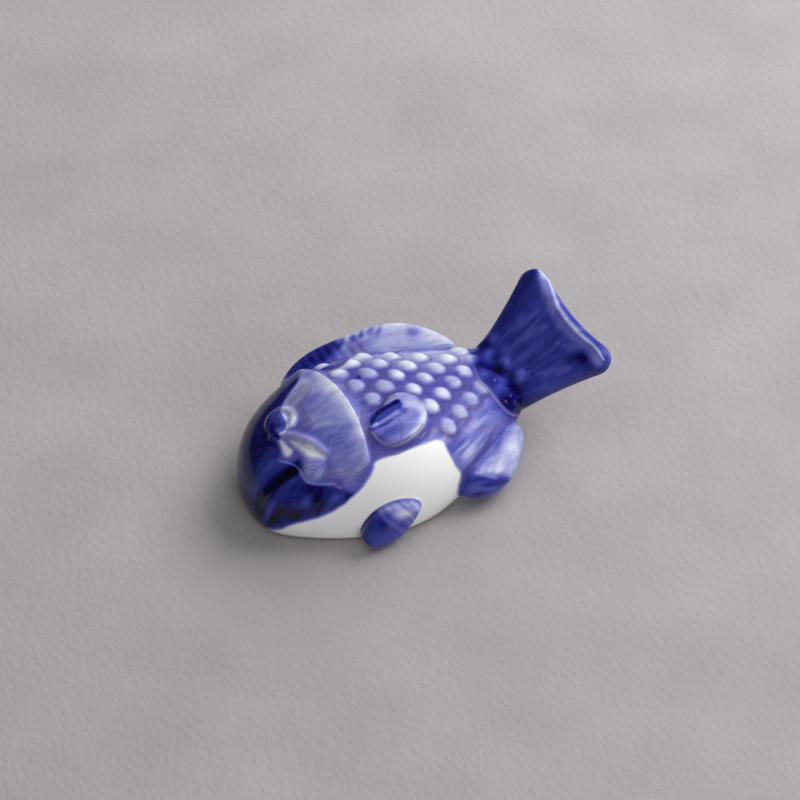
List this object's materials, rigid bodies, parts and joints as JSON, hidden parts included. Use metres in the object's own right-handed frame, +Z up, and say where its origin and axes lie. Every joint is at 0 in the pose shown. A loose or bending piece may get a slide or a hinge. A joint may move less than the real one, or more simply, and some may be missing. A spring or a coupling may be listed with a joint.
{
  "type": "chopstick rest",
  "caption": "Porcelain chopstick rest in the form of a plump sea bream lying on its side, with a raised tail, a low saddle at the neck for chopstick tips and a flat bare foot.",
  "frame": {"origin": "on the table, under the middle of the fish's body, on the flat face of the foot", "axes": "+X from the snout to the tail, +Y from the belly to the back, +Z up from the table"},
  "size_m": [0.0516, 0.0317, 0.0142],
  "materials": {
    "cobalt_glaze": "cobalt blue brushed under a clear gloss glaze, from deep navy to pale lavender",
    "white_glaze": "white porcelain under a clear gloss glaze",
    "bare_porcelain": "unglazed fired porcelain, matt and slightly sandy"
  },
  "bodies": {
    "root": {"foot": "bare_porcelain", "head": "cobalt_glaze", "lower_jaw": "cobalt_glaze", "trunk": "white_glaze", "gill_cover": "cobalt_glaze", "eye": "cobalt_glaze", "eye_ring": "cobalt_glaze", "cheek": "cobalt_glaze", "cheek_ridge": "cobalt_glaze", "dorsal_fin": "cobalt_glaze", "anal_fin": "cobalt_glaze", "pelvic_fin": "cobalt_glaze", "pectoral_fin": "cobalt_glaze", "tail_fin": "cobalt_glaze", "scales": "cobalt_glaze"}
  },
  "joints": []
}
